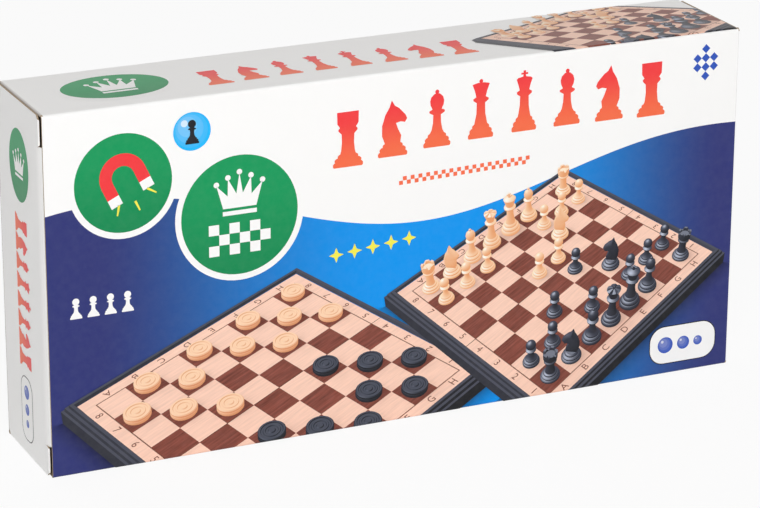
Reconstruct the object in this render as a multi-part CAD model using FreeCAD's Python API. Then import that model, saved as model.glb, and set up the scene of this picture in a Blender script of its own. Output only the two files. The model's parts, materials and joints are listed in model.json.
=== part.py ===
import FreeCAD, Part
import math
import os

# Boxed magnetic chess and draughts set: a folding board case with its men, in its tuck-end carton.
# Millimetres, +Z up. The origin is the centre of the carton's base: X runs along the carton,
# -Y is its printed front, and it stands on its long narrow side as shops stand it.

V = FreeCAD.Vector
overrun = 5.0
parallel_share = 0.001

# Board: its squares set the size of the case, the men and the carton round them
square_side = 27.0
square_count = 8
border_width = 12.0

# Carton blank, folded from printed paperboard round the case and its play
card = 0.6
case_end_play = 6.2
case_top_play = 1.7
case_side_play = 1.8
crease_radius = 1.1
flap_gap = 0.1
seam_gap = 0.3
glue_flap_width = 14.0
glue_flap_taper = 6.0
glue_flap_setback = 2.0

# Closure panel, hinged on one large panel and tucked behind the other
closure_edge_gap = 0.3
closure_corner = 1.6
cut_edge_reveal = 0.9
tuck_clearance = 0.25
bend_radius = 1.2
bend_ease_radius = 8.0
bend_ease_deg = 25.0
slit_length = 11.0
slit_width = 0.9
slit_corner = 0.8
rolled_edge_radius = 0.5
narrow_fold_radius = 1.0

# Tuck flap, folded from the closure panel's bend
tuck_depth = 13.0
tuck_lean_deg = 4.0
tuck_side_gap = 1.6
tuck_ear_gap = 0.3
tuck_corner_radius = 8.0

# Dust flaps, hinged on the two narrow panels
dust_length = 30.0
dust_setback = 4.5
dust_corner = 5.0
dust_hinge_gap = 1.5
dust_taper_share = 0.5

# Folding board case: two moulded trays, playing faces outwards, men inside
tray_wall = 2.2
tray_corner_radius = 5.0
deck_thickness = 1.6
rim_step = 1.5
rim_land = 2.5
rim_step_height = 3.25
seat_gap = 0.1

# Steel plate and printed playing sheet let into each tray's deck
steel_thickness = 0.4
sheet_thickness = 0.3
sheet_sink = 1.2
sheet_clearance = 0.2

# Case hinges: two barrels of three knuckles on plain pins
knuckle_radius = 1.5
knuckle_length = 9.0
knuckle_gap = 0.3
knuckle_clearance = 0.25
pin_radius = 0.75
pin_running_clearance = 0.05
hinge_inset = 44.0

# Case clasps: snap plates let into the free edge, with a barb for each tray
clasp_width = 16.0
clasp_span = 12.0
clasp_thickness = 1.4
clasp_clearance = 0.15
clasp_inset = 52.0
barb_width = 9.0
barb_thickness = 1.1
barb_offset = 3.6
barb_hook = 0.6
barb_reach = 1.9

# Foam fittings: a cradle with a pocket for each man, and a pad over them
foam_clearance = 0.4
men_axis_sink = 4.5
pad_relief = 0.3
foam_floor = 0.9
pocket_clearance = 0.3

# Chessmen: height and base radius as shares of a square's side
pawn_square_shares = (1.00, 0.26)
rook_square_shares = (1.22, 0.30)
knight_square_shares = (1.30, 0.30)
bishop_square_shares = (1.44, 0.30)
queen_square_shares = (1.63, 0.35)
king_square_shares = (1.78, 0.35)
magnet_side_share = 0.85
magnet_thickness = 1.6
magnet_clearance = 0.1
turning_sides = 9

# Draughtsmen
draughts_per_side = 12
draughtsman_radius_share = 0.378
draughtsman_thickness = 5.6
draughtsman_gap = 0.3
draughtsman_rim_width = 1.8
draughtsman_field_sink = 0.5
draughtsman_sides = 10

# Turned outlines: (radius share of the base radius, height share of the man's height)
foot_shares = ((1.00, 0.00), (1.00, 0.09), (0.82, 0.15), (0.56, 0.26))
pawn_shares = ((0.30, 0.50), (0.50, 0.60), (0.28, 0.65), (0.47, 0.78), (0.36, 0.93), (0.08, 1.00))
rook_shares = ((0.42, 0.60), (0.62, 0.74), (0.66, 1.00))
rook_cup_share = 0.44
rook_cup_depth_share = 0.13
rook_slot_share = 0.20
bishop_shares = (
    (0.27, 0.55), (0.50, 0.62), (0.27, 0.67), (0.44, 0.78), (0.36, 0.88), (0.10, 0.94), (0.14, 0.97),
    (0.05, 1.00))
bishop_slit_share = 0.12
bishop_slit_height_share = 0.78
queen_shares = (
    (0.28, 0.58), (0.50, 0.65), (0.30, 0.70), (0.52, 0.91), (0.34, 0.93), (0.09, 0.955), (0.12, 0.98),
    (0.04, 1.00))
queen_rim_share = 0.52
queen_rim_height_share = 0.91
queen_notch_share = 0.16
queen_notch_depth_share = 0.04
king_shares = ((0.28, 0.56), (0.50, 0.63), (0.31, 0.68), (0.50, 0.84), (0.16, 0.89))
king_cross_shares = ((0.13, 0.88, 1.00), (0.34, 0.925, 0.965))
king_cross_thickness_share = 0.24
knight_side_shares = (
    (-0.60, 0.24), (-0.62, 0.46), (-0.48, 0.70), (-0.16, 0.90), (-0.06, 1.00), (0.06, 0.93),
    (0.26, 0.86), (0.74, 0.68), (0.78, 0.60), (0.66, 0.56), (0.44, 0.61), (0.22, 0.60),
    (0.34, 0.46), (0.52, 0.24))
knight_front_shares = ((0.50, 0.24), (0.40, 0.55), (0.34, 0.80), (0.20, 0.93), (0.10, 1.00))
knight_plinth_shares = ((0.50, 0.28),)

# Men, case and carton, each from what it holds: 251 x 125.5 x 39 case, 266 x 130 x 45 carton
pawn_height, pawn_radius = [share * square_side for share in pawn_square_shares]
rook_height, rook_radius = [share * square_side for share in rook_square_shares]
knight_height, knight_radius = [share * square_side for share in knight_square_shares]
bishop_height, bishop_radius = [share * square_side for share in bishop_square_shares]
queen_height, queen_radius = [share * square_side for share in queen_square_shares]
king_height, king_radius = [share * square_side for share in king_square_shares]
magnet_side = magnet_side_share * pawn_radius
draughtsman_radius = draughtsman_radius_share * square_side
draughtsman_pitch = draughtsman_thickness + draughtsman_gap

rim_width = 2 * rim_step + rim_land
case_length = square_count * square_side + 2 * (border_width + rim_width)
half_width = case_length / 2
deck_inside = men_axis_sink + draughtsman_radius + pocket_clearance + foam_floor + seat_gap
deck_face = deck_inside + deck_thickness
half_thickness = deck_face + steel_thickness + sheet_thickness + sheet_sink
middle_rim_height = half_thickness - rim_step_height
lower_rim_height = middle_rim_height - rim_step_height

carton_length = case_length + 2 * (case_end_play + 2 * card + flap_gap)
carton_height = 2 * card + seat_gap + knuckle_radius + half_width + case_top_play
carton_depth = 2 * (half_thickness + case_side_play + 2 * card)
half_length = carton_length / 2
half_depth = carton_depth / 2
case_base = card + seat_gap + knuckle_radius
case_top = case_base + half_width


def block(x0, x1, y0, y1, z0, z1):
    return Part.makeBox(x1 - x0, y1 - y0, z1 - z0, V(x0, y0, z0))


def polygon_solid(points, travel):
    wire = Part.makePolygon(list(points) + [points[0]])
    return Part.Face(wire).extrude(travel)


def edges_along(shape, direction):
    found = []
    for edge in shape.Edges:
        run = edge.Vertexes[-1].Point.sub(edge.Vertexes[0].Point)
        if run.Length > 0 and run.cross(direction).Length < parallel_share * run.Length:
            found.append(edge)
    return found


def edges_through(shape, direction, place):
    """Edges along a direction whose points share the place's other two coordinates."""
    return [e for e in edges_along(shape, direction)
            if e.Vertexes[0].Point.sub(place).cross(direction).Length < parallel_share * carton_length]


def half_turn(shape):
    other = shape.copy()
    other.rotate(V(0, 0, 0), V(0, 0, 1), 180)
    return other


def round_tube(inset, radius, x_reach):
    solid = block(-x_reach, x_reach, inset - half_depth, half_depth - inset, inset, carton_height - inset)
    return solid.makeFillet(radius, edges_along(solid, V(1, 0, 0)))


# Carton sleeve: four panels, the creases between them and the glued lap inside the back
def sleeve_end_cuts():
    end = card + flap_gap - half_length
    narrow = block(-half_length - overrun, end, crease_radius - half_depth, half_depth - crease_radius,
                   -overrun, carton_height + overrun)
    large = block(-half_length - overrun, cut_edge_reveal - half_length, -half_depth - overrun,
                  crease_radius - half_depth, -overrun, carton_height + overrun)
    return narrow.fuse(large)


def glue_flap():
    top = carton_height - card
    low = top - glue_flap_width
    end = half_length - tuck_depth - glue_flap_setback
    short = end - glue_flap_taper
    face = half_depth - 2 * card
    outline = [V(-end, face, top), V(end, face, top), V(short, face, low), V(-short, face, low)]
    return polygon_solid(outline, V(0, card, 0))


def roll_waste(corner, along, across, travel, radius):
    """What a rolled fold takes off a square corner between two directions."""
    start = corner + along * radius
    end = corner + across * radius
    centre = start + across * radius
    middle = centre + (corner - centre).normalize() * radius
    arc = Part.Arc(start, middle, end).toShape()
    wire = Part.Wire([Part.makeLine(corner, start), arc, Part.makeLine(end, corner)])
    return Part.Face(wire).extrude(travel)


def fold_wastes():
    """For the folds that lead to the left flaps: on both narrow panels and on the closure's large panel."""
    end = card + flap_gap - half_length
    side = half_depth - crease_radius
    run = V(0, 2 * side, 0)
    low = roll_waste(V(end, -side, 0), V(1, 0, 0), V(0, 0, 1), run, narrow_fold_radius)
    high = roll_waste(V(end, -side, carton_height), V(1, 0, 0), V(0, 0, -1), run, narrow_fold_radius)
    hinge = roll_waste(V(-half_length, half_depth, crease_radius), V(1, 0, 0), V(0, -1, 0),
                       V(0, 0, carton_height - 2 * crease_radius), rolled_edge_radius)
    return low.fuse([high, hinge])


def carton_sleeve():
    tube = round_tube(0, crease_radius, half_length)
    tube = tube.cut(round_tube(card, crease_radius - card, half_length + overrun))
    cuts = sleeve_end_cuts().fuse(fold_wastes())
    tube = tube.cut(cuts).cut(half_turn(cuts)).fuse(glue_flap())
    seam = carton_height - crease_radius
    slot = block(-half_length - overrun, half_length + overrun, half_depth - card, half_depth + overrun,
                 seam - seam_gap, seam)
    return tube.cut(slot).removeSplitter()


# Closure panel: flat panel, slit shoulders and the rounded bend that leads to the tuck
closure_low = closure_edge_gap
closure_high = carton_height - closure_edge_gap
closure_root = half_depth - card - flap_gap
shoulder_end = card + slit_width - half_depth
bend_low = closure_low + slit_length
bend_high = closure_high - slit_length
ease_turn = math.radians(bend_ease_deg)
ease_offset = bend_ease_radius - bend_radius
bend_centre = V(bend_ease_radius - ease_offset * math.cos(ease_turn) - half_length,
                card + tuck_clearance + bend_radius - half_depth, bend_low)
ease_centre = bend_centre + V(ease_offset * math.cos(ease_turn), ease_offset * math.sin(ease_turn), 0)
bend_start = ease_centre.y


def on_bend(centre, radius, turn):
    return centre - V(radius * math.cos(turn), radius * math.sin(turn), 0)


def bend_arc(centre, radius, turn_from, turn_to):
    middle = (turn_from + turn_to) / 2
    return Part.Arc(*[on_bend(centre, radius, t) for t in (turn_from, middle, turn_to)]).toShape()


def closure_bend():
    """The panel eases inwards and then turns into the tuck."""
    quarter = math.pi / 2
    outside = [bend_arc(ease_centre, bend_ease_radius, 0, ease_turn),
               bend_arc(bend_centre, bend_radius, ease_turn, quarter)]
    inside = [bend_arc(bend_centre, bend_radius - card, quarter, ease_turn),
              bend_arc(ease_centre, bend_ease_radius - card, ease_turn, 0)]
    tip = Part.makeLine(on_bend(bend_centre, bend_radius, quarter), on_bend(bend_centre, bend_radius - card, quarter))
    root = Part.makeLine(on_bend(ease_centre, bend_ease_radius - card, 0), on_bend(ease_centre, bend_ease_radius, 0))
    wire = Part.Wire(outside + [tip] + inside + [root])
    return Part.Face(wire).extrude(V(0, 0, bend_high - bend_low))


def closure_panel():
    c = closure_corner
    x = -half_length
    outline = [
        V(x, closure_root, closure_low + c), V(x, closure_root, closure_high - c),
        V(x, closure_root - c, closure_high), V(x, shoulder_end + c, closure_high),
        V(x, shoulder_end, closure_high - c), V(x, shoulder_end, bend_high + slit_corner),
        V(x, shoulder_end + slit_corner, bend_high), V(x, bend_start, bend_high),
        V(x, bend_start, bend_low), V(x, shoulder_end + slit_corner, bend_low),
        V(x, shoulder_end, bend_low - slit_corner), V(x, shoulder_end, closure_low + c),
        V(x, shoulder_end + c, closure_low), V(x, closure_root - c, closure_low)]
    panel = polygon_solid(outline, V(card, 0, 0))
    panel = panel.makeFillet(rolled_edge_radius, edges_through(panel, V(0, 0, 1), V(x, shoulder_end, 0)))
    return panel.fuse(closure_bend()).removeSplitter()


# Tuck flap: wide tongue with rounded corners, creased beside the bend
tuck_axis = V(bend_centre.x + flap_gap, bend_centre.y - bend_radius + card, 0)


def tuck_flap():
    ear_low = closure_low + tuck_side_gap
    ear_high = closure_high - tuck_side_gap
    tongue = block(tuck_ear_gap, tuck_depth, -card, 0, ear_low, ear_high)
    corners = [e for e in edges_along(tongue, V(0, 1, 0)) if e.Vertexes[0].Point.x > tuck_depth / 2]
    tongue = tongue.makeFillet(tuck_corner_radius, corners)
    root = block(0, tuck_depth / 2, -card, 0, bend_low + tuck_ear_gap, bend_high - tuck_ear_gap)
    flap = tongue.fuse(root).removeSplitter()
    flap.rotate(V(0, 0, 0), V(0, 0, 1), tuck_lean_deg)
    flap.translate(tuck_axis)
    return flap


# Dust flap: tapered beside the closure panel's hinge and set back beside the tuck
dust_face = card + flap_gap - half_length


def dust_flap():
    root = card + flap_gap
    front = dust_setback - half_depth
    back = half_depth - dust_hinge_gap
    x = dust_face
    outline = [
        V(x, front, carton_height - root),
        V(x, front, carton_height - dust_length + dust_corner),
        V(x, front + dust_corner, carton_height - dust_length),
        V(x, back - dust_taper_share * dust_length, carton_height - dust_length),
        V(x, back - dust_taper_share * root, carton_height - root)]
    return polygon_solid(outline, V(card, 0, 0))


def at_bottom(shape):
    return shape.mirror(V(0, 0, carton_height / 2), V(0, 0, 1))


# Case tray: stepped rim on three sides, deck let in for the sheet, cavity for the men
def tray_block(inset, depth):
    x = case_length / 2 - inset
    solid = block(-x, x, -depth, 0, case_base, case_top - inset)
    corners = [e for e in edges_along(solid, V(0, 1, 0)) if e.Vertexes[0].Point.z > case_base + half_width / 2]
    return solid.makeFillet(tray_corner_radius - inset, corners)


def tray_cavity(inset, depth):
    x = case_length / 2 - inset
    return block(-x, x, -depth, overrun, case_base + tray_wall, case_top - inset)


def tray_shell():
    shell = tray_block(0, lower_rim_height)
    shell = shell.fuse(tray_block(rim_step, middle_rim_height))
    shell = shell.fuse(tray_block(2 * rim_step, half_thickness)).removeSplitter()
    x = case_length / 2 - rim_width
    recess = block(-x, x, -half_thickness - overrun, -deck_face, case_base - overrun, case_top - rim_width)
    shell = shell.cut(recess)
    shell = shell.cut(tray_cavity(tray_wall, lower_rim_height - deck_thickness))
    return shell.cut(tray_cavity(tray_wall + 2 * rim_step, deck_inside))


def along_x(radius, x_middle, length):
    return Part.makeCylinder(radius, length, V(x_middle - length / 2, 0, case_base), V(1, 0, 0))


hinge_places = (hinge_inset - case_length / 2, case_length / 2 - hinge_inset)
knuckle_pitch = knuckle_length + knuckle_gap
barrel_length = knuckle_length + 2 * knuckle_pitch


def knuckle_room(x_middle):
    reach = knuckle_radius + knuckle_clearance
    half = knuckle_length / 2 + knuckle_gap
    return block(x_middle - half, x_middle + half, -reach, reach, case_base - reach, case_base + reach)


def with_knuckles(shell, own_steps, other_steps):
    for place in hinge_places:
        for step in other_steps:
            shell = shell.cut(knuckle_room(place + step * knuckle_pitch))
        for step in own_steps:
            shell = shell.fuse(along_x(knuckle_radius, place + step * knuckle_pitch, knuckle_length))
        bore = along_x(pin_radius + pin_running_clearance, place, barrel_length + overrun)
        shell = shell.cut(bore)
    return shell


def hinge_pins():
    return Part.Compound([along_x(pin_radius, place, barrel_length) for place in hinge_places])


# Clasp: plate across the parting line, one barb hooked behind each tray's wall
clasp_places = (clasp_inset - case_length / 2, case_length / 2 - clasp_inset)


def clasp_seat(place):
    wide = clasp_width / 2 + clasp_clearance
    tall = clasp_span / 2 + clasp_clearance
    seat = block(place - wide, place + wide, -tall, tall, case_top - clasp_thickness - clasp_clearance,
                 case_top + overrun)
    slot_wide = barb_width / 2 + clasp_clearance
    for side in (-1, 1):
        inner = side * barb_offset
        outer = side * (barb_offset + barb_thickness)
        low = min(inner, outer) - clasp_clearance
        high = max(inner, outer) + clasp_clearance
        seat = seat.fuse(block(place - slot_wide, place + slot_wide, low, high, case_top - tray_wall - overrun,
                               case_top))
    return seat


def clasp(place):
    wide = clasp_width / 2
    top = case_top
    bottom = case_top - tray_wall - barb_reach
    plate = block(place - wide, place + wide, -clasp_span / 2, clasp_span / 2, top - clasp_thickness, top)
    catch = case_top - tray_wall - clasp_clearance
    for side in (-1, 1):
        root = side * barb_offset
        back = side * (barb_offset + barb_thickness)
        nose = side * (barb_offset + barb_thickness + barb_hook)
        x = place - barb_width / 2
        outline = [
            V(x, root, top - clasp_thickness), V(x, root, bottom), V(x, back, bottom),
            V(x, nose, catch - barb_hook), V(x, nose, catch), V(x, back, catch),
            V(x, back, top - clasp_thickness)]
        plate = plate.fuse(polygon_solid(outline, V(barb_width, 0, 0)))
    return plate.removeSplitter()


def case_clasps():
    return Part.Compound([clasp(place) for place in clasp_places])


def base_tray():
    shell = tray_shell()
    for place in clasp_places:
        shell = shell.cut(clasp_seat(place))
    return with_knuckles(shell, (-1, 1), (0,))


def lid_tray():
    shell = tray_shell().mirror(V(0, 0, 0), V(0, 1, 0))
    for place in clasp_places:
        shell = shell.cut(clasp_seat(place))
    return with_knuckles(shell, (0,), (-1, 1))


def deck_layer(inner, outer):
    x = case_length / 2 - rim_width - sheet_clearance
    return block(-x, x, -outer, -inner, case_base + sheet_clearance, case_top - rim_width - sheet_clearance)


def to_back(shape):
    return shape.mirror(V(0, 0, 0), V(0, 1, 0))


# Turned and carved men, each on its own base at the origin
def many_sided(sections, sides):
    """Solid through regular polygons about Z, given as (radius across corners, height)."""
    rings = []
    for radius, height in sections:
        turns = [2 * math.pi * (index + 1 / 2) / sides for index in range(sides)]
        rings.append([V(radius * math.cos(turn), radius * math.sin(turn), height) for turn in turns])
    faces = [Part.Face(Part.makePolygon(ring + [ring[0]])) for ring in (rings[0], rings[-1])]
    for low, high in zip(rings, rings[1:]):
        for index in range(sides):
            after = (index + 1) % sides
            corners = [low[index], low[after], high[after], high[index]]
            faces.append(Part.Face(Part.makePolygon(corners + [corners[0]])))
    return Part.Solid(Part.Shell(faces))


def turned(shares, radius, height):
    return many_sided([(a * radius, b * height) for a, b in foot_shares + shares], turning_sides)


def magnet_chip(clearance):
    side = magnet_side / 2 + clearance
    return block(-side, side, -side, side, -clearance, magnet_thickness)


def with_magnet_seat(man):
    return man.cut(magnet_chip(magnet_clearance))


def pawn():
    return with_magnet_seat(turned(pawn_shares, pawn_radius, pawn_height))


def rook():
    body = turned(rook_shares, rook_radius, rook_height)
    floor = rook_height * (1 - rook_cup_depth_share)
    cup = rook_cup_share * rook_radius
    body = body.cut(many_sided([(cup, floor), (cup, rook_height + overrun)], turning_sides))
    slot = rook_slot_share * rook_radius / 2
    for turn in (0, 60, 120):
        bar = block(-rook_radius, rook_radius, -slot, slot, floor, rook_height + overrun)
        bar.rotate(V(0, 0, 0), V(0, 0, 1), turn)
        body = body.cut(bar)
    return with_magnet_seat(body)


def bishop():
    body = turned(bishop_shares, bishop_radius, bishop_height)
    slit = bishop_slit_share * bishop_radius / 2
    cut = block(0, bishop_radius, -bishop_radius, bishop_radius, -slit, slit)
    cut.rotate(V(0, 0, 0), V(0, 1, 0), -45)
    cut.translate(V(0, 0, bishop_slit_height_share * bishop_height))
    return with_magnet_seat(body.cut(cut))


def queen():
    body = turned(queen_shares, queen_radius, queen_height)
    notch = queen_notch_share * queen_radius / 2
    floor = (queen_rim_height_share - queen_notch_depth_share) * queen_height
    ring = queen_rim_share * queen_radius
    for turn in range(0, 360, 60):
        bar = block(ring - 2 * notch, ring + notch, -notch, notch, floor, queen_height)
        bar.rotate(V(0, 0, 0), V(0, 0, 1), turn)
        body = body.cut(bar)
    return with_magnet_seat(body)


def king():
    body = turned(king_shares, king_radius, king_height)
    thick = king_cross_thickness_share * king_radius / 2
    for reach_share, low_share, high_share in king_cross_shares:
        reach = reach_share * king_radius
        body = body.fuse(block(-reach, reach, -thick, thick, low_share * king_height, high_share * king_height))
    return with_magnet_seat(body)


def knight_head():
    radius = knight_radius
    side = [V(a * radius, -radius, b * knight_height) for a, b in knight_side_shares]
    profile = polygon_solid(side, V(0, 2 * radius, 0))
    right = [V(-radius, a * radius, b * knight_height) for a, b in knight_front_shares]
    left = [V(-radius, -a * radius, b * knight_height) for a, b in reversed(knight_front_shares)]
    front = polygon_solid(right + left, V(2 * radius, 0, 0))
    return profile.common(front)


def knight():
    body = turned(knight_plinth_shares, knight_radius, knight_height)
    return with_magnet_seat(body.fuse(knight_head()).removeSplitter())


def draughtsman():
    top = draughtsman_thickness
    disc = many_sided([(draughtsman_radius, 0), (draughtsman_radius, top)], draughtsman_sides)
    inner = draughtsman_radius - draughtsman_rim_width
    field = many_sided([(inner, top - draughtsman_field_sink), (inner, top + overrun)], draughtsman_sides)
    return with_magnet_seat(disc.cut(field))


# Packing plan: columns of men across the case, feet down as the carton stands
men = {
    "pawn": (pawn(), pawn_height, pawn_radius, "pawns"),
    "rook": (rook(), rook_height, rook_radius, "rooks"),
    "knight": (knight(), knight_height, knight_radius, "knights"),
    "bishop": (bishop(), bishop_height, bishop_radius, "bishops"),
    "queen": (queen(), queen_height, queen_radius, "queen"),
    "king": (king(), king_height, king_radius, "king"),
}
half_set = (("pawn",) * 4, ("pawn",) * 4, ("rook", "knight", "bishop"), ("rook", "knight", "bishop"),
            ("king", "queen"))
foam_low = case_base + tray_wall + foam_clearance
foam_high = case_top - tray_wall - 2 * rim_step - foam_clearance
foam_half_length = case_length / 2 - tray_wall - 2 * rim_step - foam_clearance
stack_height = draughts_per_side * draughtsman_pitch
stack_low = (foam_low + foam_high - stack_height) / 2


def column_radius(column):
    return max(men[kind][2] for kind in column)


def column_plan():
    """Each entry: (column centre, side of the set, kind, foot height), from the middle outwards."""
    widths = [2 * draughtsman_radius] + [2 * column_radius(column) for column in half_set]
    gap = (foam_half_length - sum(widths)) / (len(widths) + 1 / 2)
    middle = gap / 2 + draughtsman_radius
    plan = [(side * middle, side, "draughtsmen", stack_low) for side in (-1, 1)]
    edge = middle + draughtsman_radius + gap
    for column in reversed(half_set):
        radius = column_radius(column)
        step = (foam_high - foam_low - sum(men[kind][1] for kind in column)) / (len(column) + 1)
        foot = foam_low + step
        for kind in column:
            plan.extend((side * (edge + radius), side, kind, foot) for side in (-1, 1))
            foot += men[kind][1] + step
        edge += 2 * radius + gap
    return plan


plan = column_plan()


def pocket(x, low, high, radius):
    reach = radius + pocket_clearance
    return block(x - reach, x + reach, -men_axis_sink - reach, overrun, low - pocket_clearance,
                 high + pocket_clearance)


def foam_cradle():
    foam = block(-foam_half_length, foam_half_length, seat_gap - deck_inside, -men_axis_sink, foam_low, foam_high)
    pockets = []
    for x, side, kind, foot in plan:
        if kind == "draughtsmen":
            height, radius = stack_height, draughtsman_radius
        else:
            height, radius = men[kind][1], men[kind][2]
        pockets.append(pocket(x, foot, foot + height, radius))
    return foam.cut(pockets[0].multiFuse(pockets[1:]))


def lid_pad():
    face = draughtsman_radius - men_axis_sink + pad_relief
    return block(-foam_half_length, foam_half_length, face, deck_inside - seat_gap, foam_low, foam_high)


def placed(shape, x, z):
    copy = shape.copy()
    copy.translate(V(x, -men_axis_sink, z))
    return copy


def stacked(shape, x, foot):
    return [placed(shape, x, foot + index * draughtsman_pitch) for index in range(draughts_per_side)]


def set_out(shape, kinds, sides):
    """The shape at every place of the plan that is kept for these kinds on these sides."""
    found = []
    for x, side, kind, foot in plan:
        if kind not in kinds or side not in sides:
            continue
        found.extend(stacked(shape, x, foot) if kind == "draughtsmen" else [placed(shape, x, foot)])
    return Part.Compound(found)


def collect_parts():
    parts = {"carton_sleeve": carton_sleeve()}
    closure, tuck, dust = closure_panel(), tuck_flap(), dust_flap()
    parts["left_closure_panel"] = closure
    parts["left_tuck_flap"] = tuck
    parts["left_top_dust_flap"] = dust
    parts["left_bottom_dust_flap"] = at_bottom(dust)
    parts["right_closure_panel"] = half_turn(closure)
    parts["right_tuck_flap"] = half_turn(tuck)
    parts["right_top_dust_flap"] = half_turn(dust)
    parts["right_bottom_dust_flap"] = half_turn(at_bottom(dust))
    steel = deck_layer(deck_face, deck_face + steel_thickness)
    sheet = deck_layer(deck_face + steel_thickness, deck_face + steel_thickness + sheet_thickness)
    parts["case_base_tray"] = base_tray()
    parts["case_lid_tray"] = lid_tray()
    parts["base_steel_plate"] = steel
    parts["lid_steel_plate"] = to_back(steel)
    parts["base_playing_sheet"] = sheet
    parts["lid_playing_sheet"] = to_back(sheet)
    parts["case_hinge_pins"] = hinge_pins()
    parts["case_clasps"] = case_clasps()
    parts["men_cradle"] = foam_cradle()
    parts["lid_pad"] = lid_pad()
    disc = draughtsman()
    for side, colour in ((-1, "ivory"), (1, "black")):
        for kind in men:
            parts[colour + "_" + men[kind][3]] = set_out(men[kind][0], (kind,), (side,))
        parts[colour + "_draughtsmen"] = set_out(disc, ("draughtsmen",), (side,))
    chip = magnet_chip(0)
    parts["chess_magnets"] = set_out(chip, tuple(men), (-1, 1))
    parts["draughts_magnets"] = set_out(chip, ("draughtsmen",), (-1, 1))
    return parts


def main():
    os.makedirs("parts", exist_ok=True)
    for name, shape in collect_parts().items():
        shape.exportStep("parts/" + name + ".step")
        print(name, len(shape.Solids), "solids,", round(shape.Volume, 1), "mm3, valid", shape.isValid())


main()
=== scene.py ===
import math

import bpy
import numpy as np
from mathutils import Matrix, Vector
from mathutils.geometry import tessellate_polygon
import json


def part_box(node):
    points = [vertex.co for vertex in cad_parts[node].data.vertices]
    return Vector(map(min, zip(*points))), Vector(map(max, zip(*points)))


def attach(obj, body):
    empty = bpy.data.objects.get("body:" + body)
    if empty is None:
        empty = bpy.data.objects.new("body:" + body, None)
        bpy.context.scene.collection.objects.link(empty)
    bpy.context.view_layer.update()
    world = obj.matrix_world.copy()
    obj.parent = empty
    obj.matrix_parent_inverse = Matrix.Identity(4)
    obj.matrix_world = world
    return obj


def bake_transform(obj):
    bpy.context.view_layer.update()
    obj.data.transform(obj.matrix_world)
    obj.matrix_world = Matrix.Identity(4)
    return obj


# Boxed chess and draughts set: a printed, varnished tuck-end carton. Sizes are millimetres unless a name
# says otherwise, and MM turns them into the frame's metres.
MM = 0.001

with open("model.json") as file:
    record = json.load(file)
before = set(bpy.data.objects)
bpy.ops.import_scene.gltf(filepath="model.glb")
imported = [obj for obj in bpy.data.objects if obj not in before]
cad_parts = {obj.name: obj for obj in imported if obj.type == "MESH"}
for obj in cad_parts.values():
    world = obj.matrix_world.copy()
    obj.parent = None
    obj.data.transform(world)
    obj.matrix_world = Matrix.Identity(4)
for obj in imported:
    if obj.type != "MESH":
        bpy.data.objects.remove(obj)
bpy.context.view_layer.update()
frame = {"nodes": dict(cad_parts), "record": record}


def box_mm(node):
    low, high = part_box(node)
    return np.array(low) / MM, np.array(high) / MM


sleeve_low, sleeve_high = box_mm("carton_sleeve")
closure_low, closure_high = box_mm("left_closure_panel")
LENGTH, DEPTH, HEIGHT = sleeve_high - sleeve_low

# Card of the carton, with its gaps, corners and slits
CARD = 0.6
FLAP_GAP = 0.1
LET_IN = 0.05
SLIT = 11.0
SLIT_WIDTH = 0.9
SLIT_CORNER = 0.8
TUCK_FACE = 0.85
CLOSURE_CORNER = 1.6
REVEAL = 0.9
FLAP_LINE = 0.7
RAW_EDGE = 0.04

# Print: the degrees of an arc that one facet spans, and the thickness of one layer of ink
FACET = 12.0
PLY = 0.02

# Playing sheets inside the carton
SQUARE = 27.0
FOLD_HEIGHT = 2.2
SHEET_LINE = 0.9

# Arcs of a rim, (radius, degrees) from the flat outwards
CREASE = ((1.1, 90),)
HALF_CREASE = ((1.1, 45),)
FOLD = ((0.5, 90),)
NARROW_FOLD = ((1.0, 90),)
NARROW_FOLD_PRINT = ((1.0, 60),)
TUCK_BEND = ((8.0, 25), (1.2, 65))


def linear(colour):
    """Screen colour, 0 to 255, as linear light."""
    c = np.asarray(colour, float) / 255
    return np.where(c <= 0.04045, c / 12.92, ((c + 0.055) / 1.055) ** 2.4)


def mixed(a, b, share):
    share = np.asarray(share, float)[..., None]
    return np.asarray(a) * (1 - share) + np.asarray(b) * share


def smooth_step(x):
    x = np.clip(x, 0, 1)
    return x * x * (3 - 2 * x)


PAPER = linear((250, 250, 249))
# Painted shade that the print turns to over the folds at the narrow faces' ends
PAINTED_FOLD_SHADE = linear((138, 126, 114))
BOARD = linear((168, 148, 122))
NAVY = linear((50, 56, 118))
AZURE = linear((6, 150, 240))
GREEN = linear((22, 153, 92))
DEEP_GREEN = linear((20, 136, 82))
RED = linear((242, 62, 66))
ORANGE = linear((246, 112, 74))
YELLOW = linear((246, 238, 84))
BALL_BLUE = linear((48, 86, 186))
SKY = linear((30, 184, 250))
INK_BLACK = linear((34, 34, 40))
WALNUT = linear((134, 74, 62))
CREAM = linear((252, 210, 189))
FRAME_LINE = linear((120, 70, 56))
SHADE = linear((112, 78, 76))
# Moulded men in the pictures: shadow, light and highlight
IVORY = linear([(234, 160, 108), (255, 226, 190), (255, 252, 244)])
IVORY_DISC = linear([(220, 146, 102), (254, 208, 170), (255, 238, 212)])
JET = linear([(30, 31, 38), (68, 72, 88), (196, 204, 222)])
JET_DISC = linear([(26, 27, 33), (46, 49, 60), (128, 136, 156)])
RIM_TONES = linear([(26, 27, 32), (66, 68, 80), (128, 134, 154)])


# Faces of the carton, each in its own millimetres: u to the right, v up, h outwards
def reach(arcs):
    """How far a rim's arcs carry it along the face."""
    total, angle = 0.0, 0.0
    for radius, degrees in arcs:
        after = angle + math.radians(degrees)
        total += radius * (math.sin(after) - math.sin(angle))
        angle = after
    return total


def girth(arcs):
    return sum(radius * math.radians(degrees) for radius, degrees in arcs)


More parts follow.
